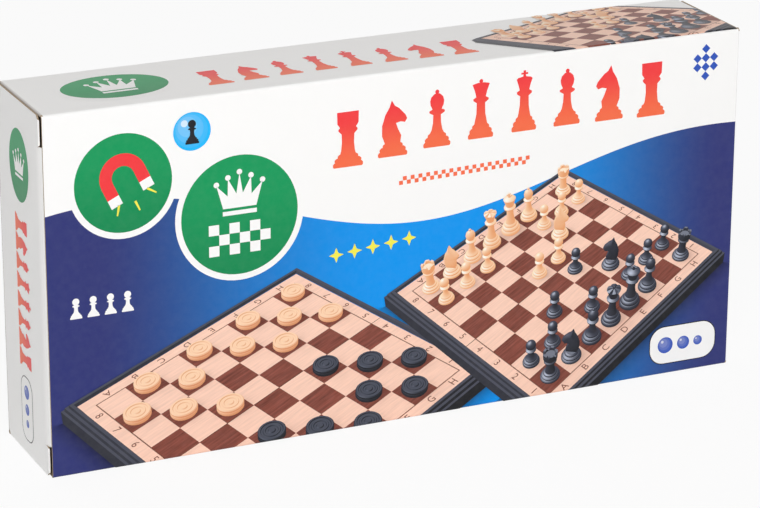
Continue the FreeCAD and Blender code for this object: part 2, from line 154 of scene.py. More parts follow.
def stops(arcs, limit):
    """Lengths over the arcs, up to the limit, at which a shape is cut so that it can follow them."""
    found, at = [0.0], 0.0
    for radius, degrees in arcs:
        count = math.ceil(degrees / FACET)
        for _ in range(count):
            at += radius * math.radians(degrees) / count
            if at < limit - PLY:
                found.append(at)
    return np.array(found + [limit])


def rolled(over, h, arcs):
    """Position past the flat's end, and out of its plane, at a length over the arcs."""
    along, out, normal = np.zeros_like(over), np.zeros_like(over), np.zeros_like(over)
    left, angle = over.copy(), 0.0
    for radius, degrees in arcs:
        turn = np.clip(left / radius, 0, math.radians(degrees))
        along += radius * (np.sin(angle + turn) - math.sin(angle))
        out += radius * (np.cos(angle + turn) - math.cos(angle))
        normal += turn
        left -= turn * radius
        angle += math.radians(degrees)
    return along + h * np.sin(normal), out + h * np.cos(normal)


class Rim:
    """The arcs at a face's low and high side, with the flat between them."""

    def __init__(self, size, low, high, low_print, high_print):
        self.low, self.high = low, high
        self.flat = (reach(low), size - reach(high))
        self.window = (self.flat[0] - girth(low_print) if low else RAW_EDGE,
                       self.flat[1] + girth(high_print) if high else size - RAW_EDGE)

    def bend(self, t, h):
        """Points at t along the face and h above it, carried over the arcs."""
        along, out = t.copy(), h.copy()
        for end, sign, arcs in ((self.flat[0], -1, self.low), (self.flat[1], 1, self.high)):
            past = sign * (t - end) > 0
            step, out[past] = rolled(sign * (t[past] - end), h[past], arcs)
            along[past] = end + sign * step
        return along, out

    def cuts(self):
        """Where a shape is cut so that it can follow the arcs."""
        low, high = self.window[:1], self.window[1:]
        if self.low:
            low = (self.flat[0] - stops(self.low, self.flat[0] - self.window[0]))[::-1]
        if self.high:
            high = self.flat[1] + stops(self.high, self.window[1] - self.flat[1])
        return [*low, *high]


class Panel:
    """One face: a corner, directions, a size, the arcs of its rims and how far the print follows them."""

    def __init__(self, corner, right, up, width, height, roll_u, print_u, roll_v=((), ()),
                 print_v=((), ())):
        self.corner, self.right, self.up = (np.array(a, float) for a in (corner, right, up))
        self.out = np.cross(self.right, self.up)
        self.width, self.height = width, height
        self.across = Rim(width, *roll_u, *print_u)
        self.upward = Rim(height, *roll_v, *print_v)

    def place(self, uvh):
        u, v, h = np.asarray(uvh, float).T
        v, out = self.upward.bend(v, h)
        u, out = self.across.bend(u, out)
        axes = np.stack([self.right, self.up, self.out])
        return (self.corner + np.stack([u, v, out], 1) @ axes) * MM


X, Y, Z = np.eye(3)
left, front, base = sleeve_low
right, back, top = sleeve_high
creases = {"roll_v": (CREASE, CREASE), "print_v": (HALF_CREASE, HALF_CREASE)}
large = {"width": LENGTH - REVEAL, "height": HEIGHT, "roll_u": ((), FOLD), "print_u": ((), FOLD)}
narrow = {"width": LENGTH - 2 * FLAP_LINE, "height": DEPTH, "roll_u": (NARROW_FOLD, NARROW_FOLD),
          "print_u": (NARROW_FOLD_PRINT, NARROW_FOLD_PRINT)}
front_panel = Panel((left + REVEAL, front, base), X, Z, **large, **creases)
back_panel = Panel((right - REVEAL, back, base), -X, Z, **large, **creases)
top_panel = Panel((left + FLAP_LINE, front, top), X, Y, **narrow, **creases)
bottom_panel = Panel((left + FLAP_LINE, back, base), X, -Y, **narrow, **creases)


def closure_panels(corner, along):
    """A closure's flat shoulders and its middle, which bends into the tuck."""
    low, high = closure_low[2], closure_high[2]
    shoulder_width = closure_high[1] - (front + CARD + SLIT_WIDTH)
    middle_width = closure_high[1] - (front + TUCK_FACE)
    corner = (*corner, low)
    shoulders = Panel(corner, along, Z, shoulder_width, high - low, ((), FOLD), ((), FOLD))
    middle = Panel(corner, along, Z, middle_width, high - low, ((), TUCK_BEND), ((), TUCK_BEND))
    return shoulders, middle


left_panels = closure_panels((left, closure_high[1]), -Y)
right_panels = closure_panels((right, -closure_high[1]), Y)


def new_piece(name, points, faces, material):
    """An object with a mesh from points in metres."""
    mesh = bpy.data.meshes.new(name)
    mesh.from_pydata(points, [], faces)
    mesh.materials.append(material)
    piece = bpy.data.objects.new(name, mesh)
    bpy.context.scene.collection.objects.link(piece)
    return piece


def ink_corners(piece, colours):
    """Gives each corner of a piece's faces its ink."""
    ink = piece.data.color_attributes.new("ink", "FLOAT_COLOR", "CORNER")
    ink.data.foreach_set("color", np.c_[colours, np.ones(len(colours))].astype(np.float32).ravel())


# Print: polygons in a panel's millimetres. The values of a corner are u, v, h, then its red, green and blue,
# then the x, y and strength of its grain
VALUES = 9


def corners(points, colour, height=0.0, grain=None):
    """Rows of corner values for an array of points that ends in (u, v) or (u, v, h)."""
    points = np.asarray(points, float)
    rows = np.zeros((*points.shape[:-1], VALUES))
    rows[..., : points.shape[-1]] = points
    rows[..., 2] += height
    rows[..., 3:6] = colour
    if grain is not None:
        rows[..., 6:9] = grain
    return rows


def clipped(polygon, axis, limit, sign):
    """The part of a polygon of rows whose value on one axis is beyond the limit, on the sign's side."""
    kept = []
    for one, two in zip(polygon, np.roll(polygon, -1, 0)):
        a, b = sign * (one[axis] - limit), sign * (two[axis] - limit)
        if a >= 0:
            kept.append(one)
        if (a > 0 > b) or (a < 0 < b):
            kept.append(one + (two - one) * (a / (a - b)))
    return np.array(kept)


def strips(polygon, axis, cuts):
    """The parts of a polygon between each two cuts."""
    found = []
    for low, high in zip(cuts, cuts[1:]):
        if high - low < 1e-9 or polygon[:, axis].max() <= low or polygon[:, axis].min() >= high:
            continue
        part = clipped(polygon, axis, low, 1)
        if len(part) > 2:
            part = clipped(part, axis, high, -1)
        if len(part) > 2:
            found.append(part)
    return found


def winding(flat):
    """Above zero for the flat polygons whose first three corners go anticlockwise."""
    a, b = flat[:, 1] - flat[:, 0], flat[:, 2] - flat[:, 0]
    return a[:, 0] * b[:, 1] - a[:, 1] * b[:, 0]


def anticlockwise(triangles):
    """Flat triangles with their corners in anticlockwise order."""
    turned = winding(triangles) < 0
    triangles[turned] = triangles[turned][:, ::-1]
    return triangles


class Print:
    """Inked shapes on one panel, cut to its rims and bent round its creases. A colour may be a function."""

    def __init__(self, panel):
        self.panel = panel
        self.blocks = []

    def add(self, block):
        """Keeps what lies on the flat, and cuts the rest at the rims and along their arcs."""
        if not len(block):
            return
        inside = np.ones(len(block), bool)
        for axis, rim in ((0, self.panel.across), (1, self.panel.upward)):
            low, high = max(rim.flat[0], rim.window[0]), min(rim.flat[1], rim.window[1])
            inside &= (block[..., axis].min(1) >= low) & (block[..., axis].max(1) <= high)
        if inside.any():
            self.blocks.append(block[inside])
        for polygon in block[~inside]:
            for strip in strips(polygon, 0, self.panel.across.cuts()):
                self.blocks.extend(part[None] for part in strips(strip, 1, self.panel.upward.cuts()))

    def inked(self, points, colour, level):
        return corners(points, colour(points) if callable(colour) else colour, (level + 1) * PLY)

    def area(self, outline, colour, level):
        """A filled outline of (u, v) points."""
        outline = np.asarray(outline, float)
        triangles = np.array(tessellate_polygon([[Vector((*p, 0)) for p in outline]]))
        self.add(self.inked(anticlockwise(outline[triangles]), colour, level))

    def band(self, low, high, colour, level, rows=1):
        """Quads between two lines of (u, v) points, in so many rows."""
        shares = np.linspace(0, 1, rows + 1)[:, None, None]
        self.add(quads(self.inked(low * (1 - shares) + high * shares, colour, level)))

    def ground(self, us, low, high, colour, rows=1):
        """The lowest layer, between two heights over the same us."""
        low, high = (np.stack([us, np.broadcast_to(v, np.shape(us))], 1) for v in (low, high))
        self.band(low, high, colour, 0, rows)

    def build(self, name, body):
        """One piece of all the shapes, with shared points joined and collapsed faces left out."""
        corner_rows = np.concatenate([block.reshape(-1, VALUES) for block in self.blocks])
        counts = np.concatenate([np.full(len(block), block.shape[1]) for block in self.blocks])
        keys = np.round(corner_rows[:, :3] / (PLY / 100)).astype(np.int64)
        _, first, index = np.unique(keys, axis=0, return_index=True, return_inverse=True)
        index = index.ravel()
        faces, kept = [], []
        for start, count in zip(np.cumsum(counts) - counts, counts):
            around = index[start:start + count]
            rows = start + np.flatnonzero(around != np.roll(around, -1))
            if len(set(index[rows])) == len(rows) > 2:
                faces.append(index[rows].tolist())
                kept.extend(rows)
        piece = new_piece(name, self.panel.place(corner_rows[first, :3]).tolist(), faces, varnish)
        rows = corner_rows[kept]
        ink_corners(piece, rows[:, 3:6])
        grain = piece.data.attributes.new("grain", "FLOAT_VECTOR", "CORNER")
        grain.data.foreach_set("vector", rows[:, 6:9].astype(np.float32).ravel())
        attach(piece, body)


def quads(grid):
    """A grid of rows, (m, n, values), as a block of its quads."""
    block = np.stack([grid[:-1, :-1], grid[:-1, 1:], grid[1:, 1:], grid[1:, :-1]], 2)
    return block.reshape(-1, 4, grid.shape[-1])


# Outlines, as (u, v) points
def arc(centre, radius, start=0.0, end=360.0, count=48):
    """Points on an ellipse or circle, degrees from start to end."""
    turns = np.radians(np.linspace(start, end, count + 1))
    if abs(end - start) == 360:
        turns = turns[:-1]
    return np.array(centre) + np.stack([np.cos(turns), np.sin(turns)], 1) * radius


def rounded(centre, half, radius):
    """A rectangle with rounded corners."""
    parts = []
    for quadrant, (a, b) in enumerate(((1, 1), (-1, 1), (-1, -1), (1, -1))):
        middle = np.array(centre) + np.array([a * (half[0] - radius), b * (half[1] - radius)])
        parts.append(arc(middle, radius, 90 * quadrant, 90 * quadrant + 90, 8))
    return np.concatenate(parts)


def spin(degrees):
    """Turns rows of points anticlockwise about z when they are multiplied by it."""
    a = math.radians(degrees)
    return np.array([[math.cos(a), math.sin(a), 0], [-math.sin(a), math.cos(a), 0], [0, 0, 1]])


def moved(outline, place, scale=1.0, turn=0.0):
    """An outline scaled, turned by degrees and carried to its place."""
    return np.asarray(outline) * scale @ spin(turn)[:2, :2] + np.array(place)


# Turned men, by (radius, height) in shares of the man's height, foot first
FOOT = [(0.0, 0.0), (0.27, 0.0), (0.29, 0.02), (0.29, 0.07), (0.265, 0.10), (0.25, 0.105), (0.26, 0.13),
        (0.255, 0.16), (0.22, 0.19), (0.195, 0.195), (0.20, 0.215), (0.19, 0.245), (0.15, 0.27)]


def slimmer(points, share):
    return [(radius * share, height * 0.9) for radius, height in points]


def ball(middle, radius, start=-60, count=7):
    turns = np.radians(np.linspace(start, 90, count))
    return [(radius * math.cos(t), middle + radius * math.sin(t)) for t in turns]


TURNED = {
    "pawn": [
        *FOOT, (0.10, 0.36), (0.085, 0.48), (0.095, 0.57), (0.17, 0.60), (0.17, 0.63), (0.11, 0.66),
        *ball(0.82, 0.17)],
    "rook": [
        *slimmer(FOOT, 0.98), (0.13, 0.30), (0.115, 0.45), (0.12, 0.60), (0.18, 0.66), (0.18, 0.69),
        (0.15, 0.72), (0.20, 0.79), (0.205, 1.0), (0.14, 1.0), (0.14, 0.9), (0.0, 0.9)],
    "knight": [*slimmer(FOOT, 0.95), (0.15, 0.26), (0.0, 0.26)],
    "bishop": [
        *slimmer(FOOT, 0.86), (0.10, 0.30), (0.075, 0.42), (0.07, 0.56), (0.14, 0.60), (0.145, 0.63),
        (0.085, 0.66), (0.12, 0.73), (0.13, 0.80), (0.11, 0.87), (0.05, 0.925), *ball(0.96, 0.038, -50, 5)],
    "queen": [
        *slimmer(FOOT, 0.78), (0.105, 0.30), (0.08, 0.42), (0.075, 0.60), (0.135, 0.64), (0.14, 0.67),
        (0.085, 0.70), (0.11, 0.80), (0.155, 0.915), (0.12, 0.925), (0.05, 0.94),
        *ball(0.965, 0.034, -50, 5)],
    "king": [
        *slimmer(FOOT, 0.75), (0.10, 0.30), (0.08, 0.42), (0.075, 0.58), (0.13, 0.62), (0.135, 0.65),
        (0.085, 0.68), (0.105, 0.76), (0.14, 0.86), (0.11, 0.885), (0.03, 0.90), (0.0, 0.90)]}
KNIGHT_HEAD = [
    (-0.14, 0.22), (-0.20, 0.38), (-0.20, 0.56), (-0.14, 0.75), (-0.06, 0.88), (-0.02, 1.0), (0.04, 0.90),
    (0.12, 0.85), (0.24, 0.72), (0.27, 0.65), (0.23, 0.59), (0.15, 0.61), (0.06, 0.59), (0.10, 0.48),
    (0.16, 0.36), (0.14, 0.22)]
CROSS = [
    (-0.025, 0.89), (-0.022, 0.935), (-0.06, 0.935), (-0.06, 0.965), (-0.022, 0.965), (-0.022, 1.0),
    (0.022, 1.0), (0.022, 0.965), (0.06, 0.965), (0.06, 0.935), (0.022, 0.935), (0.025, 0.89)]
TALL = {"pawn": 1.05, "rook": 1.22, "knight": 1.32, "bishop": 1.46, "queen": 1.66, "king": 1.82, "disc": 1.0}


def silhouettes(kind):
    """Flat outlines of a man that stands on v = 0, one unit tall."""
    side = [(r, h) for r, h in TURNED[kind][1:] if kind != "rook" or h != 0.9]
    found = [side + [(-r, h) for r, h in reversed(side)]]
    if kind == "knight":
        found.append(KNIGHT_HEAD)
    if kind == "king":
        found.append(CROSS)
    return [np.array(outline) for outline in found]


# Pictured solids: (points, quads, corner normals), in shares of their own height
def softened(points, faces, limit_deg=40):
    """Corner normals, each the mean of the faces round its point that turn less than the limit."""
    polygons = points[faces]
    normals = np.cross(polygons[:, 1] - polygons[:, 0], polygons[:, 2] - polygons[:, 0])
    normals += np.cross(polygons[:, 2] - polygons[:, 0], polygons[:, -1] - polygons[:, 0])
    unit = normals / np.maximum(np.linalg.norm(normals, axis=1, keepdims=True), 1e-12)
    near = unit @ unit.T > math.cos(math.radians(limit_deg))
    out = np.zeros((*faces.shape, 3))
    for face, place in np.ndindex(faces.shape):
        total = (near[face] * (faces == faces[face, place]).sum(1)) @ normals
        out[face, place] = total / max(np.linalg.norm(total), 1e-12)
    return out


def ring_quads(rings, count):
    """Quads between rings of so many points."""
    return [(a + p, a + (p + 1) % count, a + count + (p + 1) % count, a + count + p)
            for a in range(0, (rings - 1) * count, count) for p in range(count)]


SEGMENTS = 24


def lathe(profile, notch_above=None, notches=5, open_share=0.35):
    """Quads round the axis. Points above notch_above drop to it in every other stretch of the ring."""
    rings = []
    turns = np.radians(np.arange(SEGMENTS) * 360 / SEGMENTS)
    for radius, height in profile:
        heights = np.full(SEGMENTS, height)
        if notch_above is not None and height > notch_above:
            heights[np.sin(turns * notches) > open_share] = notch_above
        rings.append(np.stack([radius * np.cos(turns), radius * np.sin(turns), heights], 1))
    points, faces = np.concatenate(rings), np.array(ring_quads(len(profile), SEGMENTS))
    return points, faces, softened(points, faces)


def slab(outline, half_thickness, shrink):
    """A clockwise outline, upright in x and z: rings with rounded sides from front to back, and two caps."""
    outline = np.array(outline)[::-1]
    middle, count = outline.mean(0), len(outline)
    rings = []
    for scale, y in ((shrink, -1), (1, -0.45), (1, 0.45), (shrink, 1)):
        flat = middle + (outline - middle) * scale
        rings.append(np.insert(flat, 1, y * half_thickness, 1))
    points = np.concatenate(rings)
    faces = [(a, d, c, b) for a, b, c, d in ring_quads(len(rings), count)]
    for triangle in tessellate_polygon([[Vector((*p, 0)) for p in outline]]):
        i, j, k = triangle if winding(outline[[triangle]])[0] > 0 else triangle[::-1]
        faces.append((i, j, k, k))
        faces.append((3 * count + k, 3 * count + j, 3 * count + i, 3 * count + i))
    faces = np.array(faces)
    return points, faces, softened(points, faces, 60)


DISC = [
    (0.0, 0.0), (0.40, 0.0), (0.42, 0.03), (0.42, 0.10), (0.405, 0.12), (0.42, 0.14), (0.42, 0.19),
    (0.39, 0.22), (0.34, 0.22), (0.32, 0.19), (0.27, 0.19), (0.25, 0.215), (0.20, 0.215), (0.18, 0.19),
    (0.12, 0.19), (0.09, 0.22), (0.0, 0.22)]
DISC_RADIUS = max(radius for radius, height in DISC)
NOTCHES = {"rook": (0.93, 5), "queen": (0.885, 6)}
SOLIDS = {kind: [lathe(profile, *NOTCHES.get(kind, ()))] for kind, profile in TURNED.items()}
SOLIDS["knight"].append(slab(KNIGHT_HEAD, 0.10, 0.72))
SOLIDS["king"].append(slab(CROSS, 0.022, 0.9))
SOLIDS["disc"] = [lathe(DISC)]

# Light in the pictures: its direction, how far it wraps round a form and how tight its highlight is
LIGHT = np.array([-0.45, 0.25, 0.86])
LIGHT /= np.linalg.norm(LIGHT)
WRAP_GAIN, WRAP_LIFT, SHINE_POWER = 0.75, 0.32, 16

# Pictures: the eye's distance and the depth that the relief spans, in squares, and the print's height and
# relief in millimetres
VIEW_DISTANCE, RELIEF_DEPTH = 26.0, 16
PICTURE_HEIGHT, RELIEF = 4 * PLY, 0.25


class Picture:
    """A view of a board that lies flat, in squares, drawn on a print with its depth kept as a low relief."""

    def __init__(self, target, centre, square, turn, tilt):
        self.target, self.centre, self.square = target, centre, square
        self.spin, self.tilt = spin(turn), math.radians(tilt)
        self.eye = np.array([0, -math.cos(self.tilt), math.sin(self.tilt)])

    def project(self, points):
        x, y, z = np.moveaxis(points @ self.spin, -1, 0)
        rise = z * math.cos(self.tilt) + y * math.sin(self.tilt)
        depth = y * math.cos(self.tilt) - z * math.sin(self.tilt)
        near = self.square * VIEW_DISTANCE / (VIEW_DISTANCE + depth)
        h = PICTURE_HEIGHT + RELIEF * (0.5 - depth / RELIEF_DEPTH)
        return np.stack([self.centre[0] + near * x, self.centre[1] + near * rise, h], -1)

    def draw(self, polygons, colour, grain=None, clear=0.0):
        """Adds the faces that turn to the eye."""
        flat = self.project(polygons) + (0, 0, clear)
        seen = winding(flat) > 0
        if grain is not None:
            grain = grain[seen]
        colour = np.broadcast_to(colour, polygons.shape)[seen]
        self.target.add(corners(flat[seen], colour, 0, grain))

    def lit(self, normals, tones, gloss=1.0):
        """Shadow, light and highlight tones by how each normal faces the lamp."""
        turned = normals @ self.spin
        facing = np.clip(turned @ LIGHT * WRAP_GAIN + WRAP_LIFT, 0, 1)
        half = LIGHT + self.eye
        half /= np.linalg.norm(half)
        shine = np.clip(turned @ half, 0, 1) ** SHINE_POWER * gloss
        return mixed(mixed(tones[0], tones[1], facing), tones[2], shine)

    def man(self, kind, x, y, tones, turn=0.0):
        for points, faces, normals in SOLIDS[kind]:
            placed = points @ spin(turn) * TALL[kind] + (x, y, LIFT)
            self.draw(placed[faces], self.lit(normals @ spin(turn), tones))


# Pictured boards, in squares, with the rim as (out, height) from the border
HALF = 4
BORDER = 0.44
FIELD_LINE = 0.035
FOLD_LINE = 0.012
LIFT = 0.01
LINE_CLEAR = 0.0015
CORNERS = np.array([(-1.0, -1.0), (1.0, -1.0), (1.0, 1.0), (-1.0, 1.0)])
SIDES = list(zip(CORNERS, np.roll(CORNERS, -1, 0)))
RIM = [(0.0, 0.02), (0.06, 0.10), (0.16, 0.10), (0.18, 0.0), (0.27, 0.0), (0.29, -0.13), (0.37, -0.13),
       (0.39, -0.62)]

# Shade under a man: its depth, its spread as a share of the foot, and its shift from the lamp
SHADE_DEPTH, SHADE_SHARE, SHADE_SHIFT = 0.55, 0.62, 0.10
# A chessman's foot as a share of its height, the grain of dark and pale squares, and the rim's gloss
FOOT_RADIUS = 0.3
DARK_GRAIN, PALE_GRAIN = 1.0, 0.22
RIM_GLOSS = 0.5


def board_ground(picture, men, steps=5):
    """Squares and border, shaded under the men."""
    edge = HALF + BORDER
    lines = np.concatenate([[-edge], np.linspace(-HALF, HALF, 2 * HALF * steps + 1), [edge]])
    xs, ys = np.meshgrid(lines, lines, indexing="ij")
    block = quads(np.stack([xs, ys, np.zeros_like(xs)], -1))[:, ::-1]
    middle = block.mean(1)
    on_squares = (np.abs(middle[:, 0]) < HALF) & (np.abs(middle[:, 1]) < HALF)
    dark = on_squares & ((np.floor(middle[:, 0]) + np.floor(middle[:, 1])) % 2 == 0)
    shade = np.ones(block.shape[:2])
    for kind, x, y, _, _ in men:
        spread = SHADE_SHARE * (DISC_RADIUS if kind == "disc" else FOOT_RADIUS * TALL[kind])
        gap = (block[..., 0] - x - SHADE_SHIFT) ** 2 + (block[..., 1] - y + SHADE_SHIFT) ** 2
        shade *= 1 - SHADE_DEPTH * np.exp(-gap / (2 * spread ** 2))
    colour = np.where(dark[:, None], WALNUT, CREAM)[:, None]
    strength = np.broadcast_to(np.where(dark, DARK_GRAIN, PALE_GRAIN)[:, None, None], (*shade.shape, 1))
    picture.draw(block, mixed(colour * SHADE, colour, shade), np.concatenate([block[..., :2], strength], -1))


def board_lines(picture):
    """Frame line round the squares, and the fold between the halves."""
    steps = np.linspace(0, 1, 41)[:, None]
    for a, b in SIDES:
        rows = [np.c_[(a + (b - a) * steps) * out, 0 * steps] for out in (HALF + FIELD_LINE, HALF)]
        picture.draw(quads(np.stack(rows)), FRAME_LINE, clear=LINE_CLEAR)
    along = (2 * steps - 1) * (HALF + BORDER)
    rows = [np.c_[along, 0 * steps + side * FOLD_LINE, 0 * steps] for side in (-1, 1)]
    picture.draw(quads(np.stack(rows)), FRAME_LINE * 0.5, clear=LINE_CLEAR)


def board_rim(picture):
    """Stepped plastic rim, mitred at the corners, and the dark sides below it."""
    for here, there in SIDES:
        for (out0, z0), (out1, z1) in zip(RIM, RIM[1:]):
            near, far = HALF + BORDER + out0, HALF + BORDER + out1
            quad = np.array([(*here * near, z0), (*here * far, z1), (*there * far, z1), (*there * near, z0)])
            normal = np.cross(quad[1] - quad[0], quad[3] - quad[0])
            normal /= np.linalg.norm(normal)
            colour = picture.lit(np.broadcast_to(normal, (1, 4, 3)), RIM_TONES, RIM_GLOSS)
            picture.draw(quad[None], colour)


def glyph(character):
    """A coordinate's letter or number as triangles, one unit high and centred."""
    data = bpy.data.curves.new("glyph", "FONT")
    data.body = character
    data.resolution_u = 3
    holder = bpy.data.objects.new("glyph", data)
    bpy.context.scene.collection.objects.link(holder)
    mesh = bpy.data.meshes.new_from_object(holder.evaluated_get(bpy.context.evaluated_depsgraph_get()))
    mesh.calc_loop_triangles()
    points = np.array([v.co[:2] for v in mesh.vertices])
    triangles = np.array([t.vertices[:] for t in mesh.loop_triangles])
    bpy.data.objects.remove(holder)
    bpy.data.curves.remove(data)
    bpy.data.meshes.remove(mesh)
    points -= (points.min(0) + points.max(0)) / 2
    points /= np.ptp(points[:, 1])
    return anticlockwise(points[triangles])


LETTERS, NUMBERS = "ABCDEFGH", "12345678"
GLYPHS = {character: glyph(character) for character in LETTERS + NUMBERS}
GLYPH_SIZE = 0.25


def board_coordinates(picture):
    """Letters along two sides and numbers along the others, in the border, each facing outwards."""
    out = HALF + BORDER / 2
    for index, (letter, number) in enumerate(zip(LETTERS, NUMBERS)):
        along = index - HALF + 0.5
        for text, place, turn in ((letter, (along, -out), 0), (letter, (along, out), 180),
                                  (number, (-out, along), -90), (number, (out, along), 90)):
            flat = moved(GLYPHS[text], place, GLYPH_SIZE, turn)
            picture.draw(np.insert(flat, 2, 0, -1), FRAME_LINE, clear=LINE_CLEAR)


def pictured_board(picture, men):
    """men: (kind, x, y, tones, turn) in squares from the board's middle."""
    board_ground(picture, men)
    board_lines(picture)
    board_rim(picture)
    board_coordinates(picture)
    for man in men:
        picture.man(*man)


RANK = ("rook", "knight", "bishop", "queen", "king", "bishop", "knight", "rook")


def chess_men():
    """The chessmen a few moves into a game: the pawns on some files have gone ahead."""
    found = []
    for tones, home, step, turn, ahead in ((IVORY, 3.5, -1, -60, {3: 2, 4: 2}),
                                           (JET, -3.5, 1, 120, {2: 1, 4: 2})):
        for index, kind in enumerate(RANK):
            x = index - 3.5
            place = (x - 1, home + 2 * step) if index == 6 else (x, home)
            found.append((kind, *place, tones, turn))
            found.append(("pawn", x, home + step * (1 + ahead.get(index, 0)), tones, turn))
    return found


def draughts_men():
    """The draughtsmen after one move of each side."""
    moves = {(2, 4): (1.5, -0.5), (5, 3): (-1.5, 0.5)}
    found = []
    for row in (0, 1, 2, 5, 6, 7):
        for column in range(row % 2, 8, 2):
            place = moves.get((row, column), (column - 3.5, row - 3.5))
            found.append(("disc", *place, JET_DISC if row < HALF else IVORY_DISC, 0))
    return found


# Print levels: a motif straight on the ground, and one on a badge
ON_GROUND, ON_BADGE = 2, 4

# Field: shares of the length where azure starts to rise, how long it rises, where it has fallen and how long
# that takes, and the height and swings of its upper edge
RISE_SHARES, FALL_SHARES = (0.06, 0.42), (0.98, 0.34)
WAVE_HEIGHT, WAVE_SWINGS = 86, (9, 3)

# Balls: the radius of each disc and how much lighter it is, as shares, and where the highlight lies
BALL_DISCS = ((1.0, 0.0), (0.9, 0.04), (0.74, 0.1), (0.52, 0.18), (0.18, 0.7))
BALL_SHINE = np.array([-0.5, 0.55])

# Men in outline: the share of a row's height that every man has, and the share that grows with its kind
OUTLINE_SHARE, OUTLINE_TALLER = 0.66, 0.17

# Shadow of a pictured board: its width in squares, its rows of quads, how dark it is and the corner of the
# board that it lies round
SHADOW_WIDTH, SHADOW_ROWS, SHADOW_DARK = 0.7, 5, 0.62
SHADOW_CORNER = np.array([-0.7, -0.7])


# Generic motifs
def field_colour(points):
    """Navy at both ends of the field, azure in the middle."""
    along = points[..., 0] / LENGTH
    rise = smooth_step((along - RISE_SHARES[0]) / RISE_SHARES[1])
    fall = smooth_step((FALL_SHARES[0] - along) / FALL_SHARES[1])
    return mixed(NAVY, AZURE, rise * fall)


def wave(u):
    """The field's upper edge on the large faces."""
    turns = 2 * math.pi * u / LENGTH
    wide, narrow_swing = WAVE_SWINGS
    return WAVE_HEIGHT + wide * np.cos(turns - 0.08 * math.pi) + narrow_swing * np.sin(1.5 * turns)


def glossy_ball(target, centre, radius, colour, level):
    """Discs in one another, each lighter and further towards the lamp, down to a small highlight."""
    for share, light in BALL_DISCS:
        shift = BALL_SHINE * radius * (1 - share)
        target.area(arc(shift + centre, radius * share), mixed(colour, PAPER, light), level)
        level += 0.5


def stars(target, first, step, radii, count):
    """Four-pointed stars in a line. The radii are those of the tips and of the waist between them."""
    for index in range(count):
        place = np.array(first) + np.array(step) * index
        target.area(arc(place, np.tile(radii, 4)[:, None], 90, 450, 8), YELLOW, ON_GROUND)


def badge(target, centre, radius, ring=2.2):
    """Green disc in a white ring. The radius may be a pair, across and up."""
    radii = np.array(radius) * np.ones(2)

    def green(points):
        return mixed(GREEN, DEEP_GREEN, smooth_step((centre[1] - points[..., 1]) / radii[1] * 0.5 + 0.35))

    target.area(arc(centre, radii + ring, count=64), PAPER, ON_GROUND)
    target.area(arc(centre, radii, count=64), green, ON_GROUND + 1)


def horseshoe(target, centre, size, turn=25.0, inner=0.48, tip=0.55, leg=0.95):
    """Magnet with pale tips and three sparks. The inner radius and the legs' ends are shares of the size."""
    bow = [moved(arc((0, 0), radius, 0, 180, 28), centre, size, turn) for radius in (inner, 1)]
    target.band(*bow, RED, ON_BADGE)
    for side in (-1, 1):
        for low, high, colour in ((-tip, 0, RED), (-leg, -tip, PAPER)):
            part = [(side * inner, low), (side, low), (side, high), (side * inner, high)]
            target.area(moved(part, centre, size, turn), colour, ON_BADGE)
    for angle in (-35, 0, 35):
        spark = moved([(-0.05, -1.15), (0.05, -1.15), (0.03, -1.6), (-0.03, -1.6)], (0, 0), size, angle)
        target.area(moved(spark, centre, 1, turn), YELLOW, ON_BADGE)


def crown(target, centre, size):
    """Draughts crown: five points on a band, with balls."""
    points = [(-0.72, -0.5), (-1.0, 0.5), (-0.52, 0.02), (-0.5, 0.75), (-0.14, 0.1), (0.0, 0.95),
              (0.14, 0.1), (0.5, 0.75), (0.52, 0.02), (1.0, 0.5), (0.72, -0.5)]
    foot = [(-0.74, -0.62), (0.74, -0.62), (0.74, -0.8), (-0.74, -0.8)]
    balls = [arc((x, y + 0.05), 0.12, count=16) for x, y in points[1::2]]
    for outline in (points, foot, *balls):
        target.area(moved(outline, centre, size), PAPER, ON_BADGE)


def pawns(target, first, step, tall, count, colour, level):
    """Pawns in outline, side by side."""
    for index in range(count):
        place = (first[0] + step * index, first[1])
        target.area(moved(silhouettes("pawn")[0], place, tall), colour, level)


def red_row(target, start, end, tall, lift, turn=0.0):
    """Chessmen in outline, red above and orange below, along a gentle arc."""
    start, end = np.array(start, float), np.array(end, float)
    across = np.array([start[1] - end[1], end[0] - start[0]]) / np.linalg.norm(end - start)
    for index, kind in enumerate(RANK):
        share = (index + 0.5) / len(RANK)
        place = start + (end - start) * share + across * lift * math.sin(math.pi * share)
        height = tall * (OUTLINE_SHARE + OUTLINE_TALLER * TALL[kind])
        side = -1 if index > 3 else 1

        def colour(points, place=place, height=height):
            return mixed(ORANGE, RED, smooth_step((points - place) @ across / height * 1.1))

        for step, outline in enumerate(silhouettes(kind)):
            target.area(moved(outline * (side, 1), place, height, turn), colour, ON_GROUND + step / 2)


def chequered(target, start, size, columns, rows, turn, colour, level=ON_GROUND):
    """Every other cell of a grid, from its lower left corner."""
    for column in range(columns):
        for row in range(column % 2, rows, 2):
            cell = [(column, row), (column + 1, row), (column + 1, row + 1), (column, row + 1)]
            target.area(moved(cell, start, size, turn), colour, level)


def ball_plaque(target, centre, half, level, turn=0.0, line=0.35):
    """White plaque with a thin dark outline and three blue balls."""
    bend = min(half) * 0.8
    target.area(moved(rounded((0, 0), half, bend), centre, 1, turn), INK_BLACK, level)
    inner = rounded((0, 0), np.array(half) - line, bend - 0.3)
    target.area(moved(inner, centre, 1, turn), PAPER, level + 0.5)
    for place, share in ((-0.52, 0.42), (0.02, 0.34), (0.46, 0.24)):
        at = moved((place * half[0], 0.0), centre, 1, turn)
        glossy_ball(target, at, share * half[1], BALL_BLUE, level + 1)


